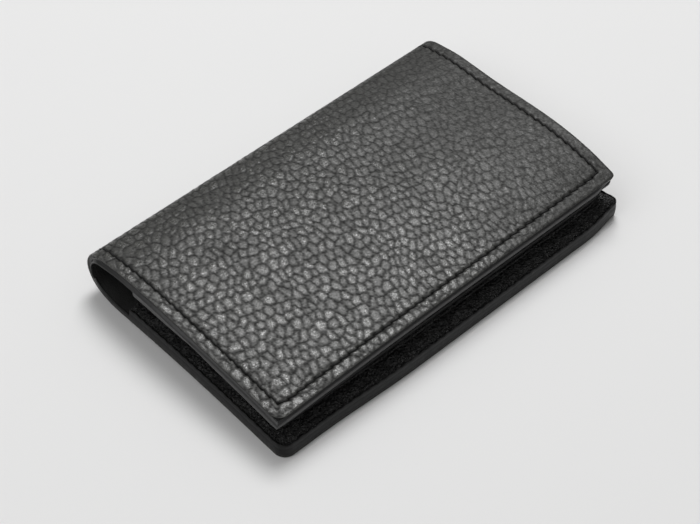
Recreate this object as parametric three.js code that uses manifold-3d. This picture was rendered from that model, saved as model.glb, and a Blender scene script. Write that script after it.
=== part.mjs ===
// Business card case, closed: one leather strip wraps the back cover, the spine and the front cover.
// On the back cover sits a card pocket with a folded gusset on three sides, its mouth towards the spine.
// Inside the front cover is a flat slip pocket. Millimetres, +Z up. The case lies on its back cover:
// X runs along the spine, -Y is the open long edge, +Y is the spine.
import * as THREE from "three";
import { mergeVertices } from "three/addons/utils/BufferGeometryUtils.js";
import Module from "manifold-3d";

const wasm = await Module();
wasm.setup();

// ---- Driving dimensions ----
const caseLength = 110; // along the spine
const caseWidth = 70; // open edge to spine
const caseHeight = 16; // over the closed covers
const frontEdgeSetback = 2; // the front cover ends this far behind the back cover
const frontSideInset = 0.6; // and is this much narrower on each side
const cornerRadius = 3;
const shoulderRadius = 20; // gentle bend where each cover leaves its flat
const shoulderTurn = THREE.MathUtils.degToRad(20);
const frontArchRadius = 180; // the front cover falls along this arc towards the open edge
const frontArchStartY = 3;

const skinThickness = 1.1; // outer leather over the stiffener
const leatherThickness = 1.55; // outer leather where there is no stiffener
const boardThickness = 0.35;
const liningThickness = 0.5;
const glueLine = 0.05; // gap between glued layers
const boardInset = 6; // from the cover's edges
const boardSpineY = 20; // the boards stop here, before the bend
const splitGap = 0.3; // between the leather strips that turn on each fold line

const seamInset = 3; // stitch line from the edge
const threadWidth = 0.5;
const threadHeight = 0.22;
const threadSink = 0.08; // the thread lies this far below the leather's face
const grooveWidth = 0.8;
const grooveDepth = 0.35;
const smallestCorner = 0.6; // no rounded corner is sharper than this
const cutOver = 0.2; // how far a cutting body passes the face it cuts

const slipPocketThickness = 0.8;
const slipPocketMouthY = 17;
const mouthSeamInset = 2;

const panelInset = 3.3; // the card pocket's panel from the back cover's edges
const panelMouthY = 20;
const panelBottom = 6.55;
const panelLining = 0.55;
const panelLeather = 1.1;
const gussetEndY = 19.5; // the gusset's two ends, towards the spine
const gussetRimInset = 0.4;
const gussetDepth = 9.5; // how far the fold reaches in from the edge
const foldTurn = 1; // leather left at the fold's inner turn
const flangeTop = 3.3; // lower flange, sewn to the back cover
const flangeWidth = 4.6;
const rimTop = 4.4; // top of the lower flank at the rim
const foldMouthBottom = 4.7; // the dark line between the two flanks
const foldMouthTop = 5;
const bellowsTop = 5.4;
const upperFlangeWidth = 4.6;
const upperFlangeInset = panelInset + 0.1; // the upper flange hides just inside the panel's edge
const panelSeamEndInset = 1; // the panel's seam stops this far short of its mouth

// ---- Materials ----
function leather(colour, roughness) {
  return new THREE.MeshStandardMaterial({ color: colour, roughness, metalness: 0 });
}
const finishes = {
  outerLeather: () => leather(0x2b2b2a, 0.5),
  liningLeather: () => leather(0x1c1b1a, 0.65),
  gussetLeather: () => leather(0x161616, 0.6),
  board: () => leather(0x8a8378, 0.9),
  thread: () => leather(0x121212, 0.7),
};

// ---- The case's outer face in section: (y, z) along the strip from the back edge to the front edge ----
function line(length) {
  return { length, radius: 0, steps: 1 };
}
function bend(radius, turn, steps) {
  return { length: radius * turn, radius, steps };
}

const halfHeight = caseHeight / 2;
const spineRadius = (halfHeight - shoulderRadius * (1 - Math.cos(shoulderTurn))) / Math.cos(shoulderTurn);
const spineTurn = Math.PI - 2 * shoulderTurn;
const backEdgeY = -caseWidth / 2;
const frontEdgeY = backEdgeY + frontEdgeSetback;
const spineReach = shoulderRadius * Math.sin(shoulderTurn) + spineRadius * (1 - Math.sin(shoulderTurn));
const flatEndY = caseWidth / 2 - spineReach; // where both covers leave their flat
const frontArchTurn = Math.asin((frontArchStartY - frontEdgeY) / frontArchRadius);

const backFlat = line(flatEndY - backEdgeY);
const shoulder = bend(shoulderRadius, shoulderTurn, 3);
const spineBend = bend(spineRadius, spineTurn, 14);
const frontFlat = line(flatEndY - frontArchStartY);
const frontArch = bend(frontArchRadius, frontArchTurn, 10);
const outerFace = [backFlat, shoulder, spineBend, shoulder, frontFlat, frontArch];
const stripLength = outerFace.reduce((sum, part) => sum + part.length, 0);

// Walks the outer face to the distance s: the point there and the unit normal into the case.
function faceAt(s) {
  let place = new THREE.Vector2(backEdgeY, 0);
  let heading = 0;
  let left = s;
  for (const part of outerFace) {
    const run = Math.min(left, part.length);
    if (part.radius) {
      const turn = run / part.radius;
      const inward = new THREE.Vector2(-Math.sin(heading), Math.cos(heading));
      const centre = place.clone().addScaledVector(inward, part.radius);
      heading += turn;
      const outward = new THREE.Vector2(Math.sin(heading), -Math.cos(heading));
      place = centre.addScaledVector(outward, part.radius);
    } else {
      place = place.clone().add(new THREE.Vector2(Math.cos(heading), Math.sin(heading)).multiplyScalar(run));
    }
    left -= run;
    if (left <= 0) break;
  }
  return { place, normal: new THREE.Vector2(-Math.sin(heading), Math.cos(heading)) };
}

// Distances along the strip between two ends, close enough together to follow the bends.
function stations(from, to) {
  const found = [from];
  let start = 0;
  for (const part of outerFace) {
    for (let step = 1; step <= part.steps; step++) {
      const s = start + (part.length * step) / part.steps;
      if (s > from + 0.05 && s < to - 0.05) found.push(s);
    }
    start += part.length;
  }
  found.push(to);
  return found;
}

const spineStart = backFlat.length + shoulder.length;
const foldAt = (turn) => spineStart + spineRadius * (turn - shoulderTurn);
const backFold = foldAt(Math.PI / 6);
const middleFold = foldAt(Math.PI / 2);
const frontFold = foldAt((5 * Math.PI) / 6);
const archStart = stripLength - frontArch.length;
// Distance along the strip to a y on the front cover, past its flat.
const frontAt = (y) =>
  y >= frontArchStartY
    ? archStart - (y - frontArchStartY)
    : archStart + frontArchRadius * Math.asin((frontArchStartY - y) / frontArchRadius);
const backAt = (y) => y - backEdgeY;

// ---- Solids ----
function solidFrom(geometry) {
  const bare = geometry.clone();
  bare.deleteAttribute("normal");
  bare.deleteAttribute("uv");
  const merged = mergeVertices(bare, 1e-4);
  return new wasm.Manifold(
    new wasm.Mesh({
      numProp: 3,
      vertProperties: Float32Array.from(merged.attributes.position.array),
      triVerts: Uint32Array.from(merged.index.array),
    }),
  );
}

function geometryFrom(solid) {
  const mesh = solid.getMesh();
  const geometry = new THREE.BufferGeometry();
  geometry.setAttribute("position", new THREE.BufferAttribute(Float32Array.from(mesh.vertProperties), 3));
  geometry.setIndex(new THREE.BufferAttribute(Uint32Array.from(mesh.triVerts), 1));
  geometry.computeVertexNormals();
  return geometry;
}

// A layer of the wrapped strip: from one distance along it to another, between two depths below its face.
function layer(from, to, outerDepth, innerDepth) {
  const faces = stations(from, to).map(faceAt);
  const offset = (depth) => ({ place, normal }) => place.clone().addScaledVector(normal, depth);
  const outline = [...faces.map(offset(outerDepth)), ...faces.map(offset(innerDepth)).reverse()];
  const section = new THREE.ExtrudeGeometry(new THREE.Shape(outline), {
    depth: caseLength,
    bevelEnabled: false,
  });
  const yzToX = new THREE.Matrix4().makeBasis(
    new THREE.Vector3(0, 1, 0),
    new THREE.Vector3(0, 0, 1),
    new THREE.Vector3(1, 0, 0),
  );
  section.applyMatrix4(yzToX);
  section.translate(-caseLength / 2, 0, 0);
  return solidFrom(section);
}

// An upright block whose two corners on the open edge are rounded.
function block(halfX, lowY, highY, radius, lowZ, highZ) {
  const outline = new THREE.Shape();
  outline.moveTo(halfX, highY);
  outline.lineTo(-halfX, highY);
  outline.lineTo(-halfX, lowY + radius);
  outline.absarc(-halfX + radius, lowY + radius, radius, Math.PI, 1.5 * Math.PI, false);
  outline.lineTo(halfX - radius, lowY);
  outline.absarc(halfX - radius, lowY + radius, radius, 1.5 * Math.PI, 2 * Math.PI, false);
  const geometry = new THREE.ExtrudeGeometry(outline, {
    depth: highZ - lowZ,
    bevelEnabled: false,
    curveSegments: 5,
  });
  geometry.translate(0, 0, lowZ);
  return solidFrom(geometry);
}

const pastSpine = caseWidth / 2 + 2;
const below = -2;
const above = caseHeight + 2;

// A cover's outline seen from above, drawn in from its three free edges.
function coverOutline(cover, inset, spineY = pastSpine) {
  const radius = Math.max(cornerRadius - inset, smallestCorner);
  return block(cover.halfX - inset, cover.edgeY + inset, spineY, radius, below, above);
}

// A narrow band that follows a cover's free edges and runs on over the spine.
function edgeBand(cover, inset, width) {
  return coverOutline(cover, inset - width / 2).subtract(coverOutline(cover, inset + width / 2));
}

const backCover = { halfX: caseLength / 2, edgeY: backEdgeY };
const frontCover = { halfX: caseLength / 2 - frontSideInset, edgeY: frontEdgeY };
const boardTop = skinThickness + glueLine;
const liningTop = leatherThickness + glueLine;
const stackThickness = liningTop + liningThickness;

// The channel that the thread lies in, cut a little past both ends of a length of the strip.
function seamGroove(cover, from, to) {
  const lowEnd = Math.max(from - splitGap, 0);
  const highEnd = Math.min(to + splitGap, stripLength);
  return layer(lowEnd, highEnd, -cutOver, grooveDepth).intersect(edgeBand(cover, seamInset, grooveWidth));
}

function outerLeather(cover, from, to, boardFrom, boardTo) {
  const sheet = layer(from, to, 0, leatherThickness).intersect(coverOutline(cover, 0));
  const recess = layer(boardFrom, boardTo, skinThickness, leatherThickness + cutOver)
    .intersect(coverOutline(cover, boardInset - glueLine));
  return sheet.subtract(recess).subtract(seamGroove(cover, from, to));
}

function board(cover, from, to) {
  return layer(from, to, boardTop, boardTop + boardThickness).intersect(coverOutline(cover, boardInset));
}

function lining(cover, from, to) {
  return layer(from, to, liningTop, stackThickness).intersect(coverOutline(cover, 0));
}

function thread(cover, from, to) {
  return layer(from, to, threadSink, threadSink + threadHeight)
    .intersect(edgeBand(cover, seamInset, threadWidth));
}

const cased = new THREE.Group();
function add(name, solid, finish) {
  const mesh = new THREE.Mesh(geometryFrom(solid), finish());
  mesh.name = name;
  cased.add(mesh);
}

// ---- Back cover ----
const half = splitGap / 2;
const backEnd = backFold - half;
const boardEnd = backAt(boardSpineY);
add("back_outer_leather", outerLeather(backCover, 0, backEnd, 0, boardEnd + glueLine), finishes.outerLeather);
add("back_stiffener_board", board(backCover, 0, boardEnd), finishes.board);
add("back_lining", lining(backCover, 0, backEnd), finishes.liningLeather);
add("back_seam_thread", thread(backCover, 0, backEnd), finishes.thread);

// ---- Spine: the strip's middle, in two lengths that turn on the middle fold ----
const spineLengths = {
  back: [backFold + half, middleFold - half],
  front: [middleFold + half, frontFold - half],
};
for (const [side, [from, to]] of Object.entries(spineLengths)) {
  const sheet = layer(from, to, 0, leatherThickness).subtract(seamGroove(backCover, from, to));
  add(`spine_leather_${side}`, sheet, finishes.outerLeather);
  add(`spine_lining_${side}`, layer(from, to, liningTop, stackThickness), finishes.liningLeather);
  const ends = { left: [-caseLength / 2 - 1, 0], right: [0, caseLength / 2 + 1] };
  for (const [end, [lowX, highX]] of Object.entries(ends)) {
    const endBlock = new THREE.BoxGeometry(highX - lowX, caseWidth * 2, caseHeight * 3);
    endBlock.translate((lowX + highX) / 2, 0, 0);
    const run = thread(backCover, from, to).intersect(solidFrom(endBlock));
    add(`spine_seam_${side}_${end}`, run, finishes.thread);
  }
}

// ---- Front cover ----
const frontStart = frontFold + half;
const frontBoardStart = frontAt(boardSpineY);
add(
  "front_outer_leather",
  outerLeather(frontCover, frontStart, stripLength, frontBoardStart - glueLine, stripLength),
  finishes.outerLeather,
);
add("front_stiffener_board", board(frontCover, frontBoardStart, stripLength), finishes.board);
add("front_lining", lining(frontCover, frontStart, stripLength), finishes.liningLeather);
add("front_seam_thread", thread(frontCover, frontStart, stripLength), finishes.thread);

// Flat slip pocket on the front cover's inner face
const slipTop = stackThickness + glueLine;
const slipBottom = slipTop + slipPocketThickness;
const slipPanel = layer(frontAt(slipPocketMouthY), stripLength, slipTop, slipBottom)
  .intersect(coverOutline(frontCover, 0));
add("front_pocket_panel", slipPanel, finishes.liningLeather);
const slipSeamY = slipPocketMouthY - mouthSeamInset;
const slipSeam = layer(
  frontAt(slipSeamY + threadWidth / 2),
  frontAt(slipSeamY - threadWidth / 2),
  slipBottom + glueLine / 2,
  slipBottom + threadHeight,
).intersect(coverOutline(frontCover, seamInset));
add("front_pocket_mouth_seam", slipSeam, finishes.thread);

// ---- Card pocket on the back cover ----
// A frame on three sides: between two insets from the back cover's edges, up to the gusset's ends.
function pocketFrame(outerInset, innerInset, lowZ, highZ) {
  const outline = (inset, highY) =>
    block(
      backCover.halfX - inset,
      backCover.edgeY + inset,
      highY,
      Math.max(cornerRadius - inset / 2, smallestCorner),
      lowZ,
      highZ,
    );
  return outline(outerInset, gussetEndY).subtract(outline(innerInset, pastSpine));
}

// Stacked rectangles, each drawn in by its own inset from the back cover's three free edges.
function rectangleLoft(levels) {
  const corners = levels.flatMap(([inset, z]) => {
    const x = backCover.halfX - inset;
    const y = backCover.edgeY + inset;
    return [-x, y, z, x, y, z, x, gussetEndY, z, -x, gussetEndY, z];
  });
  const faces = [0, 2, 1, 0, 3, 2];
  for (let level = 0; level + 1 < levels.length; level++) {
    for (let side = 0; side < 4; side++) {
      const a = level * 4 + side;
      const b = level * 4 + ((side + 1) % 4);
      faces.push(a, b, b + 4, a, b + 4, a + 4);
    }
  }
  const top = (levels.length - 1) * 4;
  faces.push(top, top + 1, top + 2, top, top + 2, top + 3);
  const geometry = new THREE.BufferGeometry();
  geometry.setAttribute("position", new THREE.Float32BufferAttribute(corners, 3));
  geometry.setIndex(faces);
  return solidFrom(geometry);
}

const flangeBottom = stackThickness + glueLine;
const bellowsBottom = flangeTop + glueLine;
const foldReach = gussetDepth - foldTurn;
const bellowsOutside = rectangleLoft([
  [gussetRimInset, bellowsBottom],
  [gussetRimInset, rimTop],
  [foldReach, foldMouthBottom],
  [upperFlangeInset, foldMouthTop],
  [upperFlangeInset, bellowsTop],
]);
const bellowsHollow = block(
  backCover.halfX - gussetDepth,
  backCover.edgeY + gussetDepth,
  pastSpine,
  1,
  below,
  above,
);
const upperFlangeBottom = bellowsTop + glueLine;
const panelLiningTop = panelBottom + panelLining;
const panelLeatherBottom = panelLiningTop + glueLine;
const panelTop = panelLeatherBottom + panelLeather;

const lowerFlange = pocketFrame(gussetRimInset, gussetRimInset + flangeWidth, flangeBottom, flangeTop);
add("gusset_lower_flange", lowerFlange, finishes.gussetLeather);
add("gusset_bellows", bellowsOutside.subtract(bellowsHollow), finishes.gussetLeather);
const upperFlange = pocketFrame(
  upperFlangeInset,
  panelInset + upperFlangeWidth,
  upperFlangeBottom,
  panelBottom - glueLine,
);
add("gusset_upper_flange", upperFlange, finishes.gussetLeather);

const panelHalfX = backCover.halfX - panelInset;
const panelEdgeY = backCover.edgeY + panelInset;
function panelBlock(inset, highY, lowZ, highZ) {
  const radius = Math.max(cornerRadius - inset, smallestCorner);
  return block(panelHalfX - inset, panelEdgeY + inset, highY, radius, lowZ, highZ);
}
const panelLiningSolid = panelBlock(0, panelMouthY, panelBottom, panelLiningTop);
add("card_pocket_lining", panelLiningSolid, finishes.liningLeather);
const panelSolid = panelBlock(0, panelMouthY, panelLeatherBottom, panelTop);
add("card_pocket_panel", panelSolid, finishes.outerLeather);

const panelThreadBottom = panelTop + glueLine / 2;
const panelThreadTop = panelTop + threadHeight;
const seamOuter = seamInset - threadWidth / 2;
const seamInner = seamInset + threadWidth / 2;
const panelSeam = panelBlock(seamOuter, panelMouthY - panelSeamEndInset, panelThreadBottom, panelThreadTop)
  .subtract(panelBlock(seamInner, pastSpine, below, above));
add("card_pocket_seam_thread", panelSeam, finishes.thread);

const mouthSeamY = panelMouthY - mouthSeamInset;
const mouthSeam = new THREE.BoxGeometry(
  2 * (panelHalfX - seamInner) - threadWidth,
  threadWidth,
  panelThreadTop - panelThreadBottom,
);
mouthSeam.translate(0, mouthSeamY, (panelThreadBottom + panelThreadTop) / 2);
add("card_pocket_mouth_seam", solidFrom(mouthSeam), finishes.thread);

export default cased;
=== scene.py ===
"""Looks of the business card case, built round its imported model.

Shapes are worked out in millimetres on the leather strip laid flat. s runs along the strip from the back
cover's open edge, round the spine, to the front cover's open edge; x runs along the spine; a depth is
measured from the outer face into the case. Blender's objects are in metres.
"""

import math

import bpy
import numpy as np
from mathutils import Matrix, Vector


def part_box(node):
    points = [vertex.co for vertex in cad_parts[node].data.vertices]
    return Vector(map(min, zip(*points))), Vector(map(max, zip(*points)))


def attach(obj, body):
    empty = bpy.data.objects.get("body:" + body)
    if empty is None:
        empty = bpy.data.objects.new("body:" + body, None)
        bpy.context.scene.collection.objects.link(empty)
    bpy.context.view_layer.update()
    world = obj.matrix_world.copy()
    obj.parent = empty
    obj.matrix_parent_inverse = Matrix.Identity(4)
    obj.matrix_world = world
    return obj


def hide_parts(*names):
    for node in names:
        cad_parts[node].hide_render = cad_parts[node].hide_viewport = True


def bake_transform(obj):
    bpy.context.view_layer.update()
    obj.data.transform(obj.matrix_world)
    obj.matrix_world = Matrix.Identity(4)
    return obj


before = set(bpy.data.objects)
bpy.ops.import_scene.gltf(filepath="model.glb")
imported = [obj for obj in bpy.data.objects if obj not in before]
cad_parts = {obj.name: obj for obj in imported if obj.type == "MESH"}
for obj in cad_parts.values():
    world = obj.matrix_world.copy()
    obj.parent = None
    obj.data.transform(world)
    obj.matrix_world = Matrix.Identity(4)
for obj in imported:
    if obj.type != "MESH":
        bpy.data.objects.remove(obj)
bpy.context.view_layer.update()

MM = 0.001


def node_box(node):
    """A CAD node's lowest and highest corner, in millimetres."""
    low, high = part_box(node)
    return [v / MM for v in low], [v / MM for v in high]


# ---- Sizes, in millimetres ----
back_low, back_high = node_box("back_outer_leather")
front_low, front_high = node_box("front_outer_leather")
panel_low, panel_high = node_box("card_pocket_panel")
HALF_LENGTH = back_high[0]
BACK_EDGE_Y = back_low[1]
FRONT_EDGE_Y = front_low[1]
HALF_WIDTH = -BACK_EDGE_Y
HEIGHT = front_high[2]
FRONT_HALF_LENGTH = front_high[0]
SHOULDER_RADIUS = 20
SHOULDER_TURN = math.radians(20)
ARCH_RADIUS = 180
ARCH_START_Y = 3
CORNERS = (3.0, 1.2)  # the left corners are worn rounder than the right ones
BACK_CORNERS = (3.0, 2.0)
SKIN = 1.12  # leather over the stiffener
BOARD_DEPTHS = (1.17, 1.5)
BOARD_INSET = 6
BOARD_CORNER = 3.0
BOARD_SPINE_Y = 20
LINING_DEPTHS = (2.1, 1.62)
LINING_INSET = 0.34
SLIP_DEPTHS = (3.0, 2.16)
SLIP_MOUTH_Y = 17
GUSSET_END_Y = 19.5
SEAM_INSET = 3
PANEL_SEAM_INSET = 2.6
MOUTH_SEAM_INSET = 2
SEAM_CORNERS = (1.3, 0.2)
STITCH_PITCH = 2.6
THREAD_RADIUS = 0.24
FACE_STEP = 0.32  # grid of the pebbled faces
LINING_STEP = 0.8
BOARD_STEP = 3.0


# ---- The case in section ----
class Section:
    """The outer face seen from the end, as straight and round stretches."""

    def __init__(self, y, z, stretches):
        self.stretches = []
        heading, begin = 0.0, 0.0
        for length, radius in stretches:
            self.stretches.append((begin, y, z, heading, radius))
            y, z, heading = self._walk(y, z, heading, radius, length)
            begin += length
        self.length = begin

    @staticmethod
    def _walk(y, z, heading, radius, run):
        if not radius:
            return y + run * np.cos(heading), z + run * np.sin(heading), heading + 0 * run
        turned = heading + run / radius
        centre_y, centre_z = y - radius * np.sin(heading), z + radius * np.cos(heading)
        return centre_y + radius * np.sin(turned), centre_z - radius * np.cos(turned), turned

    def at(self, s):
        """y, z and heading at the distances s. The end stretches run on beyond both ends."""
        s = np.asarray(s, float)
        found = [np.zeros_like(s) for _ in range(3)]
        for k, (begin, y, z, heading, radius) in enumerate(self.stretches):
            here = s >= begin if k else np.ones(s.shape, bool)
            for values, new in zip(found, self._walk(y, z, heading, radius, s[here] - begin)):
                values[here] = new
        return found


half_height = HEIGHT / 2
spine_radius = (half_height - SHOULDER_RADIUS * (1 - math.cos(SHOULDER_TURN))) / math.cos(SHOULDER_TURN)
spine_reach = SHOULDER_RADIUS * math.sin(SHOULDER_TURN) + spine_radius * (1 - math.sin(SHOULDER_TURN))
flat_end_y = HALF_WIDTH - spine_reach
arch_turn = math.asin((ARCH_START_Y - FRONT_EDGE_Y) / ARCH_RADIUS)
shoulder_length = SHOULDER_RADIUS * SHOULDER_TURN
spine_start = flat_end_y - BACK_EDGE_Y + shoulder_length
section = Section(
    BACK_EDGE_Y,
    0.0,
    [
        (flat_end_y - BACK_EDGE_Y, 0),
        (shoulder_length, SHOULDER_RADIUS),
        (spine_radius * (math.pi - 2 * SHOULDER_TURN), spine_radius),
        (shoulder_length, SHOULDER_RADIUS),
        (flat_end_y - ARCH_START_Y, 0),
        (ARCH_RADIUS * arch_turn, ARCH_RADIUS),
    ],
)
STRIP_LENGTH = section.length


def spine_at(degrees):
    """Distance along the strip where it has turned this far round the spine."""
    return spine_start + spine_radius * (math.radians(degrees) - SHOULDER_TURN)


# The strip's pieces meet in the middle of the two spine bodies, halfway between fold lines.
BACK_SPLIT, FRONT_SPLIT = spine_at(60), spine_at(120)


def front_at(y):
    """Distance from the front cover's open edge to a y on that cover."""
    arched = ARCH_RADIUS * (arch_turn - math.asin(max(ARCH_START_Y - y, 0) / ARCH_RADIUS))
    return arched + max(y - ARCH_START_Y, 0)


# ---- Small noise and easing tools ----
LATTICE = 128
FAR_AWAY = 9.0  # farther than any neighbouring cell


def ease(value, low, high):
    """A smooth step from 0 at low to 1 at high."""
    t = np.clip((value - low) / (high - low), 0, 1)
    return t * t * (3 - 2 * t)


def noise(u, v, seed):
    """Smooth noise from -1 to 1, with one lattice step for each 1 of u and v."""
    lattice = np.random.default_rng(seed).uniform(-1, 1, (LATTICE, LATTICE))
    iu, iv = np.floor(u).astype(int), np.floor(v).astype(int)
    fu, fv = ease(u - iu, 0, 1), ease(v - iv, 0, 1)

    def corner(du, dv):
        return lattice[(iu + du) % LATTICE, (iv + dv) % LATTICE]

    low = corner(0, 0) * (1 - fu) + corner(1, 0) * fu
    high = corner(0, 1) * (1 - fu) + corner(1, 1) * fu
    return low * (1 - fv) + high * fv


def cells(u, v, seed, jitter):
    """For each point: how far it is from a wall between two cells, and a random number of its own cell."""
    rng = np.random.default_rng(seed)
    shift_u = rng.uniform(-jitter, jitter, (LATTICE, LATTICE))
    shift_v = rng.uniform(-jitter, jitter, (LATTICE, LATTICE))
    own = rng.uniform(0, 1, (LATTICE, LATTICE))
    first = np.full(u.shape, FAR_AWAY)
    second = np.full(u.shape, FAR_AWAY)
    value = np.zeros(u.shape)
    iv = np.floor(v).astype(int)
    for dv in (-1, 0, 1):
        row = iv + dv
        stagger = 0.5 * (row % 2)
        iu = np.floor(u - stagger).astype(int)
        for du in (-2, -1, 0, 1, 2):
            column = iu + du
            a, b = column % LATTICE, row % LATTICE
            distance = np.hypot(column + 0.5 + stagger + shift_u[a, b] - u, row + 0.5 + shift_v[a, b] - v)
            nearer = distance < first
            second = np.where(nearer, first, np.minimum(second, distance))
            value = np.where(nearer, own[a, b], value)
            first = np.where(nearer, distance, first)
    return second - first, value


# ---- Leather grain ----
GRAIN_TURN = math.radians(16)  # the pebbles lie nearly across the spine
PEBBLE_WIDTH, PEBBLE_LENGTH, PEBBLE_JITTER = 2.0, 2.95, 0.36
FINE_WIDTH, FINE_LENGTH, FINE_JITTER = 0.8, 1.0, 0.45  # the small wrinkles on and between the pebbles
GRAIN_DEPTH = 0.16
GRAIN_SPREAD = 0.08  # the pebbles are narrower towards the right end
ROW_SWAY, CELL_SWAY = 0.7, 0.22  # how far the rows, and each cell's walls, wander
CREASE_FLOOR, DOME_REACH = 0.05, 0.55  # from a pebble's wall to where its top is full
FINE_SHARE = 0.62  # how far the pebbles give way to fine wrinkles at the right end


def grain(s, x):
    """The shrunken grain laid flat: from 0 in the creases to 1 on the tops of the pebbles."""
    across = x * (1 + GRAIN_SPREAD * x / HALF_LENGTH)
    across = across + ROW_SWAY * noise(x / 8, s / 8, 12) + CELL_SWAY * noise(x / 1.7, s / 1.7, 13)
    along = s + ROW_SWAY * noise(x / 9, s / 9, 11) + CELL_SWAY * noise(x / 1.9, s / 1.9, 14)
    turned = across * math.cos(GRAIN_TURN) + along * math.sin(GRAIN_TURN)
    lengthwise = along * math.cos(GRAIN_TURN) - across * math.sin(GRAIN_TURN)
    gap, own = cells(turned / PEBBLE_WIDTH, lengthwise / PEBBLE_LENGTH, 21, PEBBLE_JITTER)
    fine_gap, fine_own = cells(turned / FINE_WIDTH, lengthwise / FINE_LENGTH, 22, FINE_JITTER)
    rise = np.clip((gap - CREASE_FLOOR) / DOME_REACH, 0, 1)
    domes = (1 - (1 - rise) ** 1.9) * (0.66 + 0.34 * own)
    wrinkles = ease(fine_gap, 0.0, 0.5)
    coarse = np.clip(domes * (0.78 + 0.22 * wrinkles) + 0.34 * wrinkles * (1 - domes), 0, 1)
    fine = 0.24 + 0.42 * wrinkles * (0.4 + 0.6 * fine_own)
    return coarse + (fine - coarse) * FINE_SHARE * ease(x, 0, HALF_LENGTH)


# ---- Grids with finished edges ----
EDGE_STEP = 0.02  # spacing of the rim's own grid lines before they are placed
BACK_COLUMNS = 11
POINT_POWER = 0.85  # 1 would make a pointed corner quite square
TUCK = 0.7  # how far a pointed rim is drawn in again at the right end
TUCK_START, TUCK_FULL = 7, 1  # distances from the right end
UNTUCKED_STEPS = 3  # the rim's last steps, which lie inside the sheet already


def quad_corners(grid):
    """The four corner grids of a grid's squares, in order round each square."""
    return [grid[:-1, :-1], grid[1:, :-1], grid[1:, 1:], grid[:-1, 1:]]


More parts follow.
